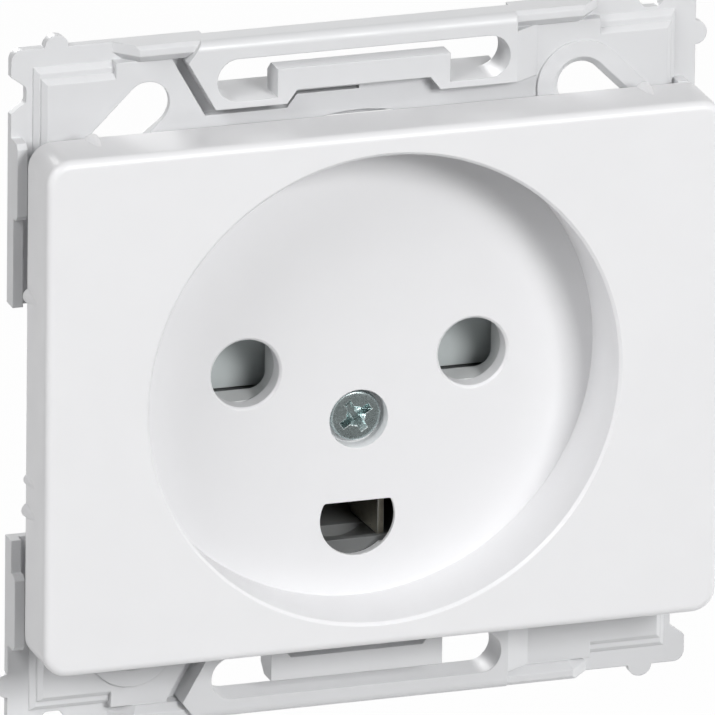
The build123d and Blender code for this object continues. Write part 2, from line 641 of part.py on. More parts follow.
def socket_base():
    """Rear housing: chambers for shutter, contacts and terminals, with ports, windows, latches and hooks."""
    base = prism(base_outline(0), 0, BASE_DEPTH)
    bevel = [
        (BASE_DEPTH, BASE_TOP),
        (BASE_DEPTH - BASE_REAR_BEVEL_LENGTH, BASE_TOP),
        (BASE_DEPTH, BASE_TOP - BASE_REAR_BEVEL_DROP),
    ]
    base -= extrude(make_face(Plane.YZ * Polyline(*bevel, close=True)), amount=base_half, both=True)
    base -= prism(base_outline(BASE_WALL), 0, CHAMBER_DEPTH)
    base -= prism(earth_outline(EARTH_ROOM_MARGIN), 0, EARTH_NOTCH_DEPTH)
    outer = base_half - BASE_WALL
    inner = PIN_PITCH / 2 - CONTACT_MOUTH - CONTACT_THICKNESS / 2 - CONTACT_CLEARANCE
    low = BASE_WALL - BASE_BOTTOM
    high = BASE_TOP - BASE_WALL
    for left, right in ((-outer, -inner), (inner, outer)):
        base -= block(left, right, CHAMBER_DEPTH, base_floor, -CELL_HALF_SPAN, CELL_HALF_SPAN)
    earth_left = -EARTH_CONTACT_HALF - CONTACT_THICKNESS / 2 - CONTACT_CLEARANCE
    earth_high = -earth_bus_face + BUS_THICKNESS + PORT_WALL_GAP
    base -= block(earth_left, outer, CHAMBER_DEPTH, base_floor, low, earth_high)
    spare_high = -CELL_HALF_SPAN - PARTITION_WALL
    base -= block(-outer, earth_left - PARTITION_WALL, CHAMBER_DEPTH, base_floor, low, spare_high)
    upper_low = CELL_HALF_SPAN + PARTITION_WALL
    upper_back = BASE_DEPTH - BASE_REAR_BEVEL_LENGTH
    base -= block(-outer, outer, CHAMBER_DEPTH, upper_back, upper_low, high)
    core = inner - PARTITION_WALL
    core_low = nut_boss_width / 2 - SCREW_DROP + PARTITION_WALL
    base -= block(-core, core, CHAMBER_DEPTH, base_floor, core_low, CELL_HALF_SPAN)
    tip_hole = Pos(0, -SCREW_DROP) * Circle(SCREW_SHANK_RADIUS + SCREW_CLEARANCE)
    base -= prism(tip_hole, CHAMBER_DEPTH, screw_seat + SCREW_LENGTH + SCREW_CLEARANCE)
    guide_in = PIN_PITCH / 2 + SHUTTER_LOBE_WIDTH / 2 + SHUTTER_CLEARANCE
    guide_low = -SHUTTER_LOBE_HEIGHT / 2 - SHUTTER_CLEARANCE
    guide_front = LID_PLUG + LID_CLEARANCE
    for side in (-1, 1):
        left, right = sorted((side * guide_in, side * outer))
        base += block(left, right, guide_front, CHAMBER_DEPTH, guide_low, upper_low)
        left, right = sorted((side * core, side * outer))
        base += block(left, right, guide_front, CHAMBER_DEPTH, guide_low - SHUTTER_STOP, guide_low)
    for cell in CELLS.values():
        base -= cell * release_window()
        for along in (-PORT_SPREAD, PORT_SPREAD):
            base -= cell * wire_port(along)
    right_latch = latch()
    return base + hooks(0) + right_latch + mirror(right_latch, about=Plane.YZ)


def contact_cover():
    """Inner lid: a rim on the housing, a plug inside it, pin wells, the earth hole and the nut boss."""
    place = Pos(0, -SCREW_DROP)
    lid = prism(base_outline(0), lid_front, 0)
    lid += prism(base_outline(BASE_WALL + LID_CLEARANCE), 0, LID_PLUG)
    lid += prism(place * Rectangle(nut_boss_width, nut_boss_width), 0, nut_boss_back)
    for side in (-1, 1):
        well = RectangleRounded(WELL_WIDTH, WELL_HEIGHT, WELL_CORNER_RADIUS)
        lid -= prism(Pos(side * PIN_PITCH / 2, 0) * well, lid_front, LID_PLUG)
    lid -= prism(earth_room(), lid_front, LID_PLUG)
    lid -= prism(place * Circle(SCREW_BOSS_RADIUS + LID_CLEARANCE), lid_front, screw_boss_back + NUT_CLEARANCE)
    lid -= prism(place * Circle(SCREW_SHANK_RADIUS + SCREW_CLEARANCE), lid_front, nut_boss_back)
    pocket = NUT_WIDTH + 2 * NUT_CLEARANCE
    lid -= prism(place * Rectangle(pocket, pocket), nut_front, nut_boss_back)
    return lid - hooks(LID_CLEARANCE)


def shutter():
    """Sliding shutter: a ramped lobe behind each pin hole, a bridge between them and the spring's peg."""
    half = SHUTTER_LOBE_HEIGHT / 2
    ramp = [
        (shutter_front, half),
        (shutter_back, half),
        (shutter_back, -half),
        (shutter_front + SHUTTER_RAMP_DEPTH, -half),
    ]
    lobe = extrude(make_face(Plane.YZ * Polyline(*ramp, close=True)), amount=SHUTTER_LOBE_WIDTH / 2, both=True)
    bridge_half = PIN_PITCH / 2 - SHUTTER_LOBE_WIDTH / 2
    slider = block(-bridge_half, bridge_half, shutter_front, shutter_back, -SHUTTER_BRIDGE_DROP, half)
    for side in (-1, 1):
        slider += Pos(side * PIN_PITCH / 2, 0, 0) * lobe
    middle = (shutter_front + shutter_back) / 2
    return slider + Pos(0, middle, half + SPRING_PEG_LENGTH / 2) * Cylinder(SPRING_PEG_RADIUS, SPRING_PEG_LENGTH)


def shutter_spring():
    """Coil spring between the shutter and the housing's top wall."""
    ends = 2 * (SPRING_WIRE_RADIUS + SPRING_SEAT_CLEARANCE)
    height = spring_top - spring_bottom - ends
    coil = Helix(pitch=height / SPRING_TURNS, height=height, radius=SPRING_RADIUS)
    wire = Plane(coil @ 0, z_dir=coil % 0) * RegularPolygon(SPRING_WIRE_RADIUS, SPRING_WIRE_SIDES)
    middle = (shutter_front + shutter_back) / 2
    return Pos(0, middle, spring_bottom + ends / 2) * sweep(wire, path=coil, is_frenet=True)


def clip_points(mouth, throat, half, front, throat_depth, straight_depth):
    """Middle line of a two-leaf spring clip, open to the front."""
    back = contact_back - CONTACT_THICKNESS / 2
    right = [(mouth, front), (throat, throat_depth), (half, straight_depth), (half, back)]
    left = [(-x, y) for x, y in reversed(right)]
    return right + left


def bus_plate(pole):
    """Terminal plate that the wires of one pole are pressed against."""
    place = Pos(-BUS_THICKNESS / 2, contact_back - BUS_LENGTH / 2, 0)
    return CELLS[pole] * place * Box(BUS_THICKNESS, BUS_LENGTH, 2 * BUS_HALF_SPAN)


def live_contact():
    """Pin clip on the left with its terminal plate."""
    front = CHAMBER_DEPTH + CONTACT_CLEARANCE
    throat_depth = front + CONTACT_MOUTH_LENGTH
    straight_depth = throat_depth + CONTACT_THROAT_LENGTH
    points = clip_points(CONTACT_MOUTH, CONTACT_THROAT, CONTACT_HALF, front, throat_depth, straight_depth)
    clip = strip(points, CONTACT_THICKNESS, CONTACT_HEIGHT / 2, CONTACT_BEND_RADIUS)
    clip = Pos(-PIN_PITCH / 2, 0, 0) * clip
    tab_inner = -PIN_PITCH / 2 - CONTACT_HALF
    half = CONTACT_HEIGHT / 2
    tab = block(-bus_face, tab_inner, contact_back - CONTACT_THICKNESS, contact_back, -half, half)
    return clip + tab + bus_plate("live")


def neutral_contact():
    """Pin clip on the right, the mirror of the left one."""
    return mirror(live_contact(), about=Plane.YZ)


def earth_contact():
    """Clip for the half-round earth pin, which reaches further forward so that it mates first."""
    front = EARTH_CONTACT_FRONT
    throat_depth = front + EARTH_CONTACT_MOUTH_LENGTH
    straight_depth = throat_depth + CONTACT_THROAT_LENGTH
    mouth, throat, half = EARTH_CONTACT_MOUTH, EARTH_CONTACT_THROAT, EARTH_CONTACT_HALF
    points = clip_points(mouth, throat, half, front, throat_depth, straight_depth)
    low = -EARTH_DROP - EARTH_CONTACT_BELOW
    high = low + EARTH_CONTACT_HEIGHT
    clip = strip(points, CONTACT_THICKNESS, EARTH_CONTACT_HEIGHT / 2, CONTACT_BEND_RADIUS)
    clip = Pos(0, 0, (low + high) / 2) * clip
    tab_end = earth_cell_offset - BUS_HALF_SPAN + BUS_THICKNESS
    bus_high = -earth_bus_face + BUS_THICKNESS
    tab_low = -earth_bus_face - EARTH_TAB_DROP
    tab = block(half, tab_end, contact_back - CONTACT_THICKNESS, contact_back, tab_low, bus_high)
    return clip + tab + bus_plate("earth")


def clamp_spring(pole, along):
    """Folded leaf that presses one wire against its terminal plate."""
    bend = clamp_seat - CLAMP_BEND
    points = [(clamp_seat, clamp_front), (clamp_seat, clamp_back), (bend, clamp_back), (clamp_tip, clamp_front)]
    leaf = strip(points, CLAMP_THICKNESS, CLAMP_WIDTH / 2, CLAMP_BEND_RADIUS)
    return CELLS[pole] * Pos(0, 0, along) * leaf


def release_button(pole):
    """Wedge that pushes both clamp springs of one pole off their wires."""
    inner = RELEASE_BUS_GAP
    outer = inner + RELEASE_WIDTH
    rear = BASE_DEPTH + RELEASE_PROUD
    slope = CLAMP_LEG / (clamp_seat - CLAMP_BEND - clamp_tip)
    lift = (CLAMP_THICKNESS / 2 + RELEASE_CLEARANCE) * hypot(1, slope)

    def along_leaf(x):
        return clamp_front + (x - clamp_tip) * slope + lift

    tip = inner + RELEASE_TIP
    point = along_leaf(tip)
    profile = [(inner, rear), (outer, rear), (outer, along_leaf(outer)), (tip, point), (inner, point)]
    wedge = extrude(make_face(Polyline(*profile, close=True)), amount=RELEASE_HALF_SPAN, both=True)
    shoulder_back = base_floor - RELEASE_WINDOW_GAP
    shoulder = Box(RELEASE_SHOULDER_WIDTH, RELEASE_SHOULDER, 2 * RELEASE_SHOULDER_HALF_SPAN)
    wedge += Pos(outer + RELEASE_SHOULDER_WIDTH / 2, shoulder_back - RELEASE_SHOULDER / 2, 0) * shoulder
    slot = Box(RELEASE_WIDTH, RELEASE_SLOT_DEPTH, RELEASE_SLOT_WIDTH)
    wedge -= Pos((inner + outer) / 2, rear - RELEASE_SLOT_DEPTH / 2, 0) * slot
    return CELLS[pole] * wedge


PIECES = {
    "cover_plate": cover_plate(),
    "cover_screw": cover_screw(),
    "screw_nut": screw_nut(),
    "support_frame": support_frame(),
    "socket_base": socket_base(),
    "contact_cover": contact_cover(),
    "shutter": shutter(),
    "shutter_spring": shutter_spring(),
    "live_contact": live_contact(),
    "neutral_contact": neutral_contact(),
    "earth_contact": earth_contact(),
}
SPRING_ENDS = {"live": ("upper", "lower"), "neutral": ("lower", "upper"), "earth": ("left", "right")}
for pole, (first, second) in SPRING_ENDS.items():
    PIECES[f"{pole}_clamp_spring_{first}"] = clamp_spring(pole, -PORT_SPREAD)
    PIECES[f"{pole}_clamp_spring_{second}"] = clamp_spring(pole, PORT_SPREAD)
    PIECES[f"{pole}_release"] = release_button(pole)

os.makedirs("parts", exist_ok=True)
for name, piece in PIECES.items():
    export_step(piece, f"parts/{name}.step")
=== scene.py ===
import json
from math import cos, pi, radians, sin

import bmesh
import bpy
from mathutils import Matrix, Vector


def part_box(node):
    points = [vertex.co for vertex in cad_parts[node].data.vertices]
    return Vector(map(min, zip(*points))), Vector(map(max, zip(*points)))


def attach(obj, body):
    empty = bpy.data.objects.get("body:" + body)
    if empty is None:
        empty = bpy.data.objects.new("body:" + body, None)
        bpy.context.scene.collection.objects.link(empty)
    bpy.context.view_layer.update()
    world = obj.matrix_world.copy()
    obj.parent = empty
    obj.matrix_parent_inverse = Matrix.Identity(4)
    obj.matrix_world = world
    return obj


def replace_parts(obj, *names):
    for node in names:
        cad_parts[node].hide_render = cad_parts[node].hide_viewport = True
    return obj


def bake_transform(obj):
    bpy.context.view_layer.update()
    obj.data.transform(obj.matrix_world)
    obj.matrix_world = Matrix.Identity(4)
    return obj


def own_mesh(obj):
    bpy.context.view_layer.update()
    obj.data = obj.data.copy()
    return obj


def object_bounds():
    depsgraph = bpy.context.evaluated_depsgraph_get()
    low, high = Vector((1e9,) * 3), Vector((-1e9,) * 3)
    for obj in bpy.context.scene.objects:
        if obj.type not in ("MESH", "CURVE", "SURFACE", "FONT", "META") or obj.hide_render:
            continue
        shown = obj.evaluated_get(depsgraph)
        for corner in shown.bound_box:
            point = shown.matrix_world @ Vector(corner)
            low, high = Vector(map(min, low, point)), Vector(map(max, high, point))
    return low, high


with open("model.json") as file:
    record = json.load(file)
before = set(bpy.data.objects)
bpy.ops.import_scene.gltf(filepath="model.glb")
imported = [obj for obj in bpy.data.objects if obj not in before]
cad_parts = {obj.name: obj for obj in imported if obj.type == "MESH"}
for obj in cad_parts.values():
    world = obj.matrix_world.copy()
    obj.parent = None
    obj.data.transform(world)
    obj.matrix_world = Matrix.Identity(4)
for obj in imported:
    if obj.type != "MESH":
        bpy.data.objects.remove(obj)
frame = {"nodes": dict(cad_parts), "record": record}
cad_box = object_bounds()

MM = 0.001

# Camera, fitted to the photo's edges
CAMERA_YAW = radians(18.51)
CAMERA_PITCH = radians(19.48)
CAMERA_ROLL = radians(0.74)
CAMERA_DISTANCE = 1.5
CAMERA_LENS = 953.1
CAMERA_SENSOR = 36.0
CAMERA_NEAR = 0.05
CAMERA_FAR = 30.0
PLATE_FRONT = Vector((0.0, -9.5 * MM, 0.0))
AIM_RIGHT = -2.25 * MM
AIM_UP = 2.60 * MM

# Studio: soft lamps around the part, a pale floor under it and a grey card that shows only in reflections
LAMP_DISTANCE = 1.6
FLOOR_DROP = 0.6
FLOOR_SIZE = 40.0
FLOOR_GREY = 0.7
FLOOR_GLOW = 0.985
CARD_DISTANCE = 0.9
CARD_SIZE = 1.0
CARD_GREY = 0.2

# Moulded plastic: scales of its noises, and the share of light that white walls pass on to each other
FLOW_SCALE = 70.0
PATCH_SCALE = 420.0
GRAIN_SCALE = 6500.0
BOUNCE_SHARE = 0.84

# Metal: scales of its noises, the stretch of its drawing lines, and the lighter colour painted along its
# edges as a highlight
CLOUD_SCALE = 900.0
LINE_SCALE = 9000.0
LINE_STRETCH = 0.06
PAINTED_EDGE_HIGHLIGHT = (0.82, 0.84, 0.84)

# Both: how much the gloss wanders, how high the relief is, and the range that a noise is read over
GLOSS_CHANGE = {"moulded_skin": 0.06, "plated_skin": 0.08}
RELIEF_HEIGHT = {"moulded_skin": 0.02 * MM, "plated_skin": 0.01 * MM}
NOISE_LOW = 0.3
NOISE_HIGH = 0.7

# Edges in the shading: samples, and the cosine of the turn at which an edge counts in full
EDGE_SAMPLES = 6
EDGE_FULL_COSINE = 0.85

# Screw head: share of its radius and depth under its top, from the flat to the rim
HEAD_HEIGHT = 0.75 * MM
HEAD_PROFILE = (
    (0.84, 0.0),
    (0.93, 0.025 * MM),
    (0.97, 0.08 * MM),
    (0.99, 0.18 * MM),
    (1.0, 0.3 * MM),
    (1.0, HEAD_HEIGHT),
)
HEAD_SIDES = 48
HEAD_SMOOTH = radians(25)

# Cross recess in the screw head
CROSS_TURN = radians(32)
CROSS_REACH = 1.55 * MM
CROSS_WIDTH = 0.34 * MM
CROSS_TIP_REACH = 0.6 * MM
CROSS_TIP_WIDTH = 0.2 * MM
CROSS_DEPTH = 1.25 * MM
MOUTH_RADIUS = 0.9 * MM
MOUTH_DEPTH = 0.85 * MM
MOUTH_SIDES = 20
CUT_ABOVE = 0.2 * MM

# Screw shank and thread
SHANK_RADIUS = 1.45 * MM
STUB_DEPTH = 2.0 * MM
THREAD_PITCH = 0.5 * MM
THREAD_DEPTH = 0.27 * MM
THREAD_STEPS = 16
THREAD_SMOOTH = radians(50)

# Shutter spring, with flat coils at its ends
SPRING_RADIUS = 1.1 * MM
WIRE_RADIUS = 0.175 * MM
SPRING_TURNS = 7
END_TURNS = 0.75
END_LIFT = 2 * WIRE_RADIUS * END_TURNS
SPRING_STEPS = 24
WIRE_SIDES = 8
SPRING_SMOOTH = radians(60)

# Clamp springs: how far in from its seat and from its tip the ends of a leaf are set
LEAF_SEAT = 0.6 * MM
LEAF_TIP = 0.5 * MM


def link(piece):
    """Put a new object into the scene."""
    bpy.context.scene.collection.objects.link(piece)
    return piece


def direction(across, above):
    """Unit vector by its angles right of the front and above the level."""
    return Vector((cos(above) * sin(across), -cos(above) * cos(across), sin(above)))


def face_part(piece, toward, distance):
    """Place a lamp or a card so that it faces the part."""
    piece.location = toward * distance
    piece.rotation_euler = toward.to_track_quat("Z", "Y").to_euler()


def neutral(level):
    """A colour between black and white."""
    return (level, level, level, 1.0)


# Camera


def photo_camera():
    """A long lens at the photo's viewing angle."""
    back = direction(-CAMERA_YAW, CAMERA_PITCH)
    level = Vector((cos(CAMERA_YAW), -sin(CAMERA_YAW), 0.0))
    upright = back.cross(level)
    right = level * cos(CAMERA_ROLL) + upright * sin(CAMERA_ROLL)
    up = upright * cos(CAMERA_ROLL) - level * sin(CAMERA_ROLL)
    data = bpy.data.cameras.new("photo_camera")
    data.lens = CAMERA_LENS
    data.sensor_width = CAMERA_SENSOR
    data.clip_start = CAMERA_NEAR
    data.clip_end = CAMERA_FAR
    camera = link(bpy.data.objects.new("photo_camera", data))
    aim = PLATE_FRONT + right * AIM_RIGHT + up * AIM_UP
    place = aim + back * CAMERA_DISTANCE
    camera.matrix_world = Matrix((
        (right.x, up.x, back.x, place.x),
        (right.y, up.y, back.y, place.y),
        (right.z, up.z, back.z, place.z),
        (0.0, 0.0, 0.0, 1.0),
    ))
    bpy.context.scene.camera = camera


# Lights and surroundings


def soft_lamp(name, azimuth, height, size, power):
    """A square soft lamp that faces the part, by its angles right of the front and above the level."""
    data = bpy.data.lights.new(name, "AREA")
    data.shape = "SQUARE"
    data.size = size
    data.energy = power
    lamp = link(bpy.data.objects.new(name, data))
    face_part(lamp, direction(radians(azimuth), radians(height)), LAMP_DISTANCE)


def seen_by(tree, *rays):
    """One for the given kinds of ray, and nothing for all others."""
    path = tree.nodes.new("ShaderNodeLightPath")
    seen = path.outputs[rays[0]]
    for ray in rays[1:]:
        either = tree.nodes.new("ShaderNodeMath")
        either.operation = "MAXIMUM"
        tree.links.new(seen, either.inputs[0])
        tree.links.new(path.outputs[ray], either.inputs[1])
        seen = either.outputs[0]
    return seen


def mixed_shaders(tree, factor, first, second):
    """The first shader where the factor is nothing, and the second where it is one."""
    mix = tree.nodes.new("ShaderNodeMixShader")
    tree.links.new(factor, mix.inputs["Fac"])
    tree.links.new(first, mix.inputs[1])
    tree.links.new(second, mix.inputs[2])
    return mix.outputs["Shader"]


def bare_material(name):
    """A material with nothing but its output."""
    material = bpy.data.materials.new(name)
    material.use_nodes = True
    tree = material.node_tree
    tree.nodes.clear()
    return material, tree, tree.nodes.new("ShaderNodeOutputMaterial")


def pale_world():
    """White to the eye, in reflections and through glass. The lamps alone light the part."""
    world = bpy.data.worlds.new("pale_world")
    world.use_nodes = True
    bpy.context.scene.world = world
    tree = world.node_tree
    tree.nodes.clear()
    output = tree.nodes.new("ShaderNodeOutputWorld")
    white = tree.nodes.new("ShaderNodeBackground")
    white.inputs["Color"].default_value = neutral(1.0)
    shown = seen_by(tree, "Is Camera Ray", "Is Glossy Ray", "Is Transmission Ray")
    tree.links.new(shown, white.inputs["Strength"])
    tree.links.new(white.outputs["Background"], output.inputs["Surface"])


def floor_finish():
    """Pale floor: nearly white to the eye, with a faint shadow, and see-through from below."""
    material, tree, output = bare_material("floor_finish")
    shade = tree.nodes.new("ShaderNodeBsdfDiffuse")
    glow = tree.nodes.new("ShaderNodeEmission")
    clear = tree.nodes.new("ShaderNodeBsdfTransparent")
    side = tree.nodes.new("ShaderNodeNewGeometry")
    share = tree.nodes.new("ShaderNodeMath")
    shade.inputs["Color"].default_value = neutral(FLOOR_GREY)
    glow.inputs["Color"].default_value = neutral(1.0)
    share.operation = "MULTIPLY"
    share.inputs[1].default_value = FLOOR_GLOW
    tree.links.new(seen_by(tree, "Is Camera Ray", "Is Glossy Ray"), share.inputs[0])
    top = mixed_shaders(tree, share.outputs[0], shade.outputs["BSDF"], glow.outputs["Emission"])
    both = mixed_shaders(tree, side.outputs["Backfacing"], top, clear.outputs["BSDF"])
    tree.links.new(both, output.inputs["Surface"])
    return material


def card_finish():
    """Even grey for the card."""
    material, tree, output = bare_material("grey_card")
    glow = tree.nodes.new("ShaderNodeEmission")
    glow.inputs["Color"].default_value = neutral(CARD_GREY)
    tree.links.new(glow.outputs["Emission"], output.inputs["Surface"])
    return material


def flat_sheet(name, size, material):
    """A square that faces up."""
    half = size / 2
    corners = [(-half, -half, 0), (half, -half, 0), (half, half, 0), (-half, half, 0)]
    mesh = bpy.data.meshes.new(name)
    mesh.from_pydata(corners, [], [(0, 1, 2, 3)])
    mesh.materials.append(material)
    return link(bpy.data.objects.new(name, mesh))


def pale_floor():
    """A plain floor below the part."""
    floor = flat_sheet("pale_floor", FLOOR_SIZE, floor_finish())
    floor.location.z = cad_box[0][2] - FLOOR_DROP


def grey_card():
    """A grey card in front of the part, seen only in reflections, where flat metal mirrors it."""
    card = flat_sheet("grey_card", CARD_SIZE, card_finish())
    face_part(card, direction(CAMERA_YAW, -CAMERA_PITCH), CARD_DISTANCE)
    card.visible_camera = False
    card.visible_diffuse = False
    card.visible_shadow = False


# Shared finish effects

SKIN_INPUTS = (
    ("Colour", "NodeSocketColor"),
    ("Tone Change", "NodeSocketFloat"),
    ("Roughness", "NodeSocketFloat"),
    ("Gloss Change", "NodeSocketFloat"),
)
SKIN_OUTPUTS = (
    ("Colour", "NodeSocketColor"),
    ("Roughness", "NodeSocketFloat"),
    ("Height", "NodeSocketFloat"),
)
EDGE_INPUTS = (("Radius", "NodeSocketFloat"),)
EDGE_OUTPUTS = (("Normal", "NodeSocketVector"), ("Edge", "NodeSocketFloat"))


def new_effect(name, inputs, outputs):
    """An empty node group with named sockets."""
    group = bpy.data.node_groups.new(name, "ShaderNodeTree")
    for socket, kind in inputs:
        group.interface.new_socket(socket, in_out="INPUT", socket_type=kind)
    for socket, kind in outputs:
        group.interface.new_socket(socket, in_out="OUTPUT", socket_type=kind)
    return group, group.nodes.new("NodeGroupInput"), group.nodes.new("NodeGroupOutput")


def noise(tree, place, scale, detail, roughness):
    """A noise texture over the part's own coordinates."""
    node = tree.nodes.new("ShaderNodeTexNoise")
    node.inputs["Scale"].default_value = scale
    node.inputs["Detail"].default_value = detail
    node.inputs["Roughness"].default_value = roughness
    tree.links.new(place, node.inputs["Vector"])
    return node.outputs["Fac"]


def wander(tree, mask, change):
    """A value that goes by the given change to both sides of nothing, as the mask says."""
    node = tree.nodes.new("ShaderNodeMapRange")
    less = tree.nodes.new("ShaderNodeMath")
    less.operation = "SUBTRACT"
    less.inputs[0].default_value = 0.0
    node.inputs["From Min"].default_value = NOISE_LOW
    node.inputs["From Max"].default_value = NOISE_HIGH
    tree.links.new(change, less.inputs[1])
    tree.links.new(mask, node.inputs["Value"])
    tree.links.new(less.outputs[0], node.inputs["To Min"])
    tree.links.new(change, node.inputs["To Max"])
    return node.outputs["Result"]


def fill_skin(group, given, result, tone_mask, gloss_mask, height):
    """Tone and gloss of a skin from their masks, and the height of its relief."""
    tone = group.nodes.new("ShaderNodeMath")
    tone.operation = "ADD"
    tone.inputs[0].default_value = 1.0
    tint = group.nodes.new("ShaderNodeVectorMath")
    tint.operation = "SCALE"
    gloss = group.nodes.new("ShaderNodeMath")
    gloss.operation = "ADD"
    group.links.new(wander(group, tone_mask, given.outputs["Tone Change"]), tone.inputs[1])
    group.links.new(given.outputs["Colour"], tint.inputs[0])
    group.links.new(tone.outputs[0], tint.inputs["Scale"])
    group.links.new(given.outputs["Roughness"], gloss.inputs[0])
    group.links.new(wander(group, gloss_mask, given.outputs["Gloss Change"]), gloss.inputs[1])
    group.links.new(tint.outputs["Vector"], result.inputs["Colour"])
    group.links.new(gloss.outputs[0], result.inputs["Roughness"])
    group.links.new(height, result.inputs["Height"])
    return group


def moulded_skin():
    """Moulded plastic: slow changes of tone and gloss from the flow, and the tool's fine eroded grain."""
    group, given, result = new_effect("moulded_skin", SKIN_INPUTS, SKIN_OUTPUTS)
    place = group.nodes.new("ShaderNodeTexCoord").outputs["Object"]
    flow = noise(group, place, FLOW_SCALE, detail=3.0, roughness=0.5)
    patch = noise(group, place, PATCH_SCALE, detail=2.0, roughness=0.5)
    grain = noise(group, place, GRAIN_SCALE, detail=2.0, roughness=0.6)
    return fill_skin(group, given, result, flow, patch, grain)


def plated_skin():
    """Plated or drawn metal: cloudy plating and fine drawing lines along the depth."""
    group, given, result = new_effect("plated_skin", SKIN_INPUTS, SKIN_OUTPUTS)
    place = group.nodes.new("ShaderNodeTexCoord").outputs["Object"]
    stretch = group.nodes.new("ShaderNodeMapping")
    stretch.inputs["Scale"].default_value = (1.0, LINE_STRETCH, 1.0)
    group.links.new(place, stretch.inputs["Vector"])
    cloud = noise(group, place, CLOUD_SCALE, detail=3.0, roughness=0.6)
    lines = noise(group, stretch.outputs["Vector"], LINE_SCALE, detail=2.0, roughness=0.6)
    return fill_skin(group, given, result, cloud, lines, lines)


def soft_edge():
    """Rounded edges in the shading, and a mask of where they are."""
    group, given, result = new_effect("soft_edge", EDGE_INPUTS, EDGE_OUTPUTS)
    bevel = group.nodes.new("ShaderNodeBevel")
    bevel.samples = EDGE_SAMPLES
    shape = group.nodes.new("ShaderNodeNewGeometry")
    match = group.nodes.new("ShaderNodeVectorMath")
    match.operation = "DOT_PRODUCT"
    mask = group.nodes.new("ShaderNodeMapRange")
    mask.inputs["From Min"].default_value = 1.0
    mask.inputs["From Max"].default_value = EDGE_FULL_COSINE
    group.links.new(given.outputs["Radius"], bevel.inputs["Radius"])
    group.links.new(bevel.outputs["Normal"], match.inputs[0])
    group.links.new(shape.outputs["Normal"], match.inputs[1])
    group.links.new(match.outputs["Value"], mask.inputs["Value"])
    group.links.new(bevel.outputs["Normal"], result.inputs["Normal"])
    group.links.new(mask.outputs["Result"], result.inputs["Edge"])
    return group


EFFECTS = {"moulded_skin": moulded_skin(), "soft_edge": soft_edge(), "plated_skin": plated_skin()}


# Finishes


def place_effect(tree, effect, values):
    """One shared effect in a material, with its own values."""
    node = tree.nodes.new("ShaderNodeGroup")
    node.name = effect
    node.node_tree = EFFECTS[effect]
    for socket, value in values.items():
        node.inputs[socket].default_value = value
    return node


def skinned(name, effect, colour, rough, tone, relief, edge_radius):
    """A material with a skin's colour, gloss and relief, and with rounded edges."""
    material = bpy.data.materials.new(name)
    material.use_nodes = True
    tree = material.node_tree
    shader = tree.nodes["Principled BSDF"]
    skin = place_effect(tree, effect, {
        "Colour": (*colour, 1.0),
        "Tone Change": tone,
        "Roughness": rough,
        "Gloss Change": GLOSS_CHANGE[effect],
    })
    edge = place_effect(tree, "soft_edge", {"Radius": edge_radius})
    bump = tree.nodes.new("ShaderNodeBump")
    bump.inputs["Strength"].default_value = relief
    bump.inputs["Distance"].default_value = RELIEF_HEIGHT[effect]
    tree.links.new(skin.outputs["Height"], bump.inputs["Height"])
    tree.links.new(edge.outputs["Normal"], bump.inputs["Normal"])
    tree.links.new(skin.outputs["Colour"], shader.inputs["Base Color"])
    tree.links.new(skin.outputs["Roughness"], shader.inputs["Roughness"])
    tree.links.new(bump.outputs["Normal"], shader.inputs["Normal"])
    return material


def mix_in(tree, blend, factor, colour):
    """Mix a colour into the one that the shader gets from its skin."""
    base = tree.nodes["Principled BSDF"].inputs["Base Color"]
    skin_colour = base.links[0].from_socket
    mix = tree.nodes.new("ShaderNodeMix")
    mix.data_type = "RGBA"
    mix.blend_type = blend
    mix.inputs["B"].default_value = colour
    tree.links.new(factor, mix.inputs["Factor"])
    tree.links.new(skin_colour, mix.inputs["A"])
    tree.links.new(mix.outputs["Result"], base)


def moulded_plastic(name, colour, rough, tone, relief, edge_radius):
    """Moulded plastic."""
    return skinned(name, "moulded_skin", colour, rough, tone, relief, edge_radius)


def white_plastic(name, colour, rough, tone, relief, edge_radius):
    """Moulded plastic that passes on only a share of the light it gets, so its hollows stay deep."""
    material = moulded_plastic(name, colour, rough, tone, relief, edge_radius)
    tree = material.node_tree
    mix_in(tree, "MULTIPLY", seen_by(tree, "Is Diffuse Ray"), neutral(BOUNCE_SHARE))
    return material


def plated_metal(name, colour, rough, tone, relief, edge_radius):
    """Plated or bare metal with a lighter colour painted along its edges as a highlight."""
    material = skinned(name, "plated_skin", colour, rough, tone, relief, edge_radius)
    tree = material.node_tree
    tree.nodes["Principled BSDF"].inputs["Metallic"].default_value = 1.0
    # painted highlight: a lighter colour mixed in along the edges, as the edge mask says
    mix_in(tree, "MIX", tree.nodes["soft_edge"].outputs["Edge"], (*PAINTED_EDGE_HIGHLIGHT, 1.0))
    return material


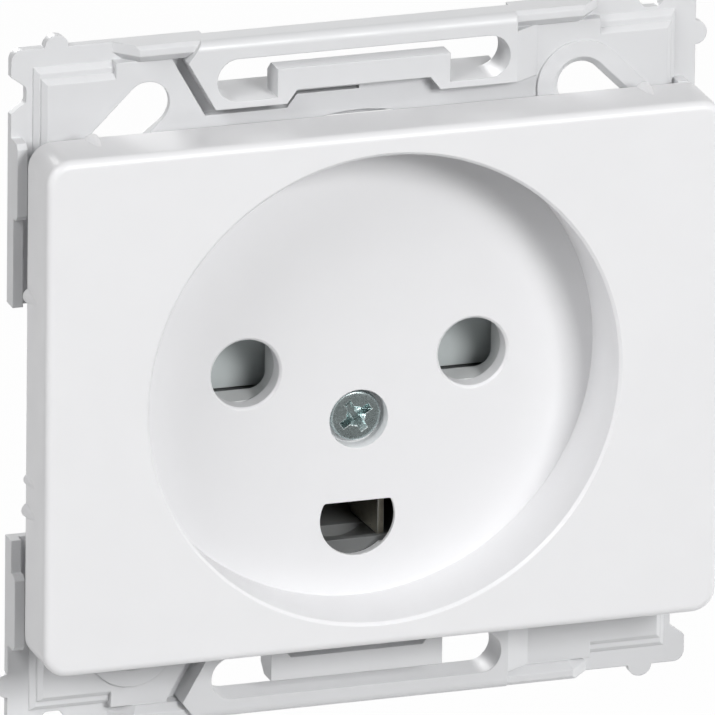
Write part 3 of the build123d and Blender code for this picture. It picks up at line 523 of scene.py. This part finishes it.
FINISHES = {
    "white_cover": white_plastic(
        "white_cover", (0.86, 0.86, 0.872), rough=0.38, tone=0.008, relief=0.05, edge_radius=0.12 * MM
    ),
    "white_frame": white_plastic(
        "white_frame", (0.74, 0.745, 0.757), rough=0.42, tone=0.012, relief=0.08, edge_radius=0.12 * MM
    ),
    "housing": moulded_plastic(
        "housing", (0.16, 0.165, 0.165), rough=0.55, tone=0.03, relief=0.25, edge_radius=0.1 * MM
    ),
    "inner_lid": moulded_plastic(
        "inner_lid", (0.72, 0.73, 0.73), rough=0.5, tone=0.03, relief=0.2, edge_radius=0.2 * MM
    ),
    "shutter": moulded_plastic(
        "shutter", (0.59, 0.63, 0.63), rough=0.5, tone=0.02, relief=0.12, edge_radius=0.1 * MM
    ),
    "zinc_steel": plated_metal(
        "zinc_steel", (0.54, 0.62, 0.62), rough=0.26, tone=0.10, relief=0.05, edge_radius=0.06 * MM
    ),
    "spring_steel": plated_metal(
        "spring_steel", (0.55, 0.56, 0.58), rough=0.3, tone=0.06, relief=0.2, edge_radius=0.04 * MM
    ),
    "contact_brass": plated_metal(
        "contact_brass", (0.58, 0.55, 0.46), rough=0.35, tone=0.08, relief=0.2, edge_radius=0.05 * MM
    ),
    "release": moulded_plastic(
        "release", (0.70, 0.71, 0.72), rough=0.4, tone=0.015, relief=0.1, edge_radius=0.1 * MM
    ),
}


def dress_nodes():
    """Give each carried-over piece its finish."""
    slots = {row["node"]: row["material_slot"] for row in frame["record"]["subparts"]}
    for name, piece in frame["nodes"].items():
        piece.data.materials.clear()
        piece.data.materials.append(FINISHES[slots[name]])
    lid = frame["nodes"]["contact_cover"]
    lid.data.materials[0] = FINISHES["inner_lid"]


# Pieces


def ring(mesh, radius, depth, sides, centre):
    """A ring of points around an axis that runs into the wall."""
    turn = 2 * pi / sides
    return [
        mesh.verts.new(centre + Vector((radius * cos(i * turn), depth, radius * sin(i * turn))))
        for i in range(sides)
    ]


def bridge(mesh, first, second):
    """A band of faces between two rings of the same length."""
    count = len(first)
    for i in range(count):
        j = (i + 1) % count
        mesh.faces.new((first[i], first[j], second[j], second[i]))


def closed_skin(mesh, rings):
    """Bands between the rings, and a face over each end."""
    for first, second in zip(rings, rings[1:]):
        bridge(mesh, first, second)
    mesh.faces.new(rings[0])
    mesh.faces.new(rings[-1])


def mesh_object(name, mesh):
    """An object from a finished mesh, with its faces turned outwards."""
    bmesh.ops.recalc_face_normals(mesh, faces=mesh.faces)
    data = bpy.data.meshes.new(name)
    mesh.to_mesh(data)
    mesh.free()
    return link(bpy.data.objects.new(name, data))


def dressed(piece, slot, smooth_angle):
    """Finish, smooth shading between sharp edges, and the body that carries the piece."""
    piece.data.materials.clear()
    piece.data.materials.append(FINISHES[slot])
    piece.data.polygons.foreach_set("use_smooth", [True] * len(piece.data.polygons))
    piece.data.set_sharp_from_angle(angle=smooth_angle)
    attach(piece, "socket")
    return piece


def cross_ring(mesh, reach, width, depth, centre):
    """The twelve corners of a cross recess at one depth."""
    arm = [Vector((width, reach)), Vector((-width, reach)), Vector((-width, width))]
    points = []
    for quarter in range(4):
        turn = Matrix.Rotation(CROSS_TURN + quarter * pi / 2, 2)
        points.extend(turn @ corner for corner in arm)
    return [mesh.verts.new(centre + Vector((point.x, depth, point.y))) for point in points]


def cross_cutter(centre):
    """The cutting body of the cross, which narrows to its tip."""
    mesh = bmesh.new()
    closed_skin(mesh, [
        cross_ring(mesh, CROSS_REACH, CROSS_WIDTH, -CUT_ABOVE, centre),
        cross_ring(mesh, CROSS_TIP_REACH, CROSS_TIP_WIDTH, CROSS_DEPTH, centre),
    ])
    return mesh_object("cross_recess", mesh)


def mouth_cutter(centre):
    """The cone that opens the mouth of the cross."""
    mesh = bmesh.new()
    closed_skin(mesh, [
        ring(mesh, MOUTH_RADIUS, -CUT_ABOVE / 2, MOUTH_SIDES, centre),
        ring(mesh, CROSS_TIP_WIDTH, MOUTH_DEPTH, MOUTH_SIDES, centre),
    ])
    return mesh_object("recess_mouth", mesh)


def cut_away(piece, tools):
    """Take the cutting bodies out of a piece and remove them."""
    for tool in tools:
        step = piece.modifiers.new(tool.name, "BOOLEAN")
        step.operation = "DIFFERENCE"
        step.solver = "EXACT"
        step.object = tool
    view = bpy.context.evaluated_depsgraph_get()
    data = bpy.data.meshes.new_from_object(piece.evaluated_get(view))
    piece.modifiers.clear()
    piece.data = data
    for tool in tools:
        bpy.data.objects.remove(tool)


def screw_head():
    """Domed head with a cross recess whose mouth is opened by a cone, and a stub of its shank."""
    low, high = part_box("cover_screw")
    centre = Vector(((low.x + high.x) / 2, low.y, (low.z + high.z) / 2))
    radius = (high.x - low.x) / 2
    profile = [(radius * share, depth) for share, depth in HEAD_PROFILE]
    profile.append((SHANK_RADIUS, HEAD_HEIGHT))
    profile.append((SHANK_RADIUS - THREAD_DEPTH, STUB_DEPTH))
    mesh = bmesh.new()
    closed_skin(mesh, [ring(mesh, around, depth, HEAD_SIDES, centre) for around, depth in profile])
    head = mesh_object("cover_screw_head", mesh)
    cut_away(head, [cross_cutter(centre), mouth_cutter(centre)])
    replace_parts(dressed(head, "zinc_steel", HEAD_SMOOTH), "cover_screw")


def screw_thread():
    """Rolled thread of the cover screw, from under its head to its tip."""
    low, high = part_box("cover_screw")
    centre = Vector(((low.x + high.x) / 2, 0.0, (low.z + high.z) / 2))
    start = low.y + HEAD_HEIGHT + THREAD_PITCH
    turns = int((high.y - start) / THREAD_PITCH) - 1
    steps = turns * THREAD_STEPS
    mesh = bmesh.new()
    roots = []
    crests = []
    for i in range(steps + THREAD_STEPS + 1):
        angle = 2 * pi * i / THREAD_STEPS
        depth = start + THREAD_PITCH * i / THREAD_STEPS
        out = Vector((cos(angle), 0.0, sin(angle)))
        root = centre + out * (SHANK_RADIUS - THREAD_DEPTH)
        roots.append(mesh.verts.new(root + Vector((0.0, depth - THREAD_PITCH / 2, 0.0))))
        if i <= steps:
            crests.append(mesh.verts.new(centre + out * SHANK_RADIUS + Vector((0.0, depth, 0.0))))
    for i in range(steps):
        j = i + THREAD_STEPS
        mesh.faces.new((roots[i], roots[i + 1], crests[i + 1], crests[i]))
        mesh.faces.new((crests[i], crests[i + 1], roots[j + 1], roots[j]))
    bmesh.ops.holes_fill(mesh, edges=[edge for edge in mesh.edges if edge.is_boundary])
    bmesh.ops.triangulate(mesh, faces=[face for face in mesh.faces if len(face.verts) > 4])
    dressed(mesh_object("cover_screw_thread", mesh), "zinc_steel", THREAD_SMOOTH)


def coil_rise(turn):
    """Rise of the end coils at a turn, and the share of the height between them."""
    if turn < END_TURNS:
        return END_LIFT * turn / END_TURNS, 0.0
    if turn > SPRING_TURNS - END_TURNS:
        return END_LIFT + END_LIFT * (turn - SPRING_TURNS + END_TURNS) / END_TURNS, 1.0
    return END_LIFT, (turn - END_TURNS) / (SPRING_TURNS - 2 * END_TURNS)


def shutter_coil():
    """Round-wire coil spring with flat end coils."""
    low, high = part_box("shutter_spring")
    axis = Vector(((low.x + high.x) / 2, (low.y + high.y) / 2, 0.0))
    bottom = low.z + WIRE_RADIUS
    span = high.z - low.z - 2 * WIRE_RADIUS - 2 * END_LIFT
    mesh = bmesh.new()
    rings = []
    for i in range(SPRING_TURNS * SPRING_STEPS + 1):
        turn = i / SPRING_STEPS
        rise, share = coil_rise(turn)
        angle = 2 * pi * turn
        out = Vector((cos(angle), sin(angle), 0.0))
        middle = axis + out * SPRING_RADIUS + Vector((0.0, 0.0, bottom + rise + share * span))
        loop = []
        for k in range(WIRE_SIDES):
            around = 2 * pi * k / WIRE_SIDES
            shift = out * (WIRE_RADIUS * cos(around)) + Vector((0.0, 0.0, WIRE_RADIUS * sin(around)))
            loop.append(mesh.verts.new(middle + shift))
        rings.append(loop)
    closed_skin(mesh, rings)
    coil = dressed(mesh_object("shutter_coil", mesh), "spring_steel", SPRING_SMOOTH)
    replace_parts(coil, "shutter_spring")
    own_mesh(coil)


def clamp_leaf(node, release, seat, tip):
    """A copy of a clamp spring that stands in its place."""
    leaf = link(bpy.data.objects.new(node.replace("spring", "leaf"), frame["nodes"][node].data.copy()))
    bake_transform(leaf)
    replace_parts(leaf, node)


def clamp_leaves():
    """The six clamp springs, each from its seat at the housing's wall to its tip at the contact."""
    for level in ("upper", "lower"):
        low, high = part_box("live_clamp_spring_" + level)
        ends = (low.x + LEAF_SEAT, 0, 0), (high.x - LEAF_TIP, 0, 0)
        clamp_leaf("live_clamp_spring_" + level, "live_release", *ends)
        low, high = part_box("neutral_clamp_spring_" + level)
        ends = (high.x - LEAF_SEAT, 0, 0), (low.x + LEAF_TIP, 0, 0)
        clamp_leaf("neutral_clamp_spring_" + level, "neutral_release", *ends)
    for side in ("left", "right"):
        low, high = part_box("earth_clamp_spring_" + side)
        ends = (0, 0, low.z + LEAF_SEAT), (0, 0, high.z - LEAF_TIP)
        clamp_leaf("earth_clamp_spring_" + side, "earth_release", *ends)


bpy.context.scene.view_settings.view_transform = "Standard"
photo_camera()
pale_world()
soft_lamp("key_lamp", azimuth=16, height=24, size=0.5, power=17.0)
soft_lamp("upper_left_lamp", azimuth=-60, height=40, size=0.8, power=11.8)
soft_lamp("left_lamp", azimuth=-75, height=5, size=1.0, power=2.4)
soft_lamp("right_front_lamp", azimuth=66, height=14, size=1.0, power=2.8)
soft_lamp("right_lamp", azimuth=98, height=8, size=1.0, power=8.0)
soft_lamp("rear_lamp", azimuth=180, height=15, size=0.5, power=14.0)
pale_floor()
grey_card()
dress_nodes()
screw_head()
screw_thread()
shutter_coil()
clamp_leaves()
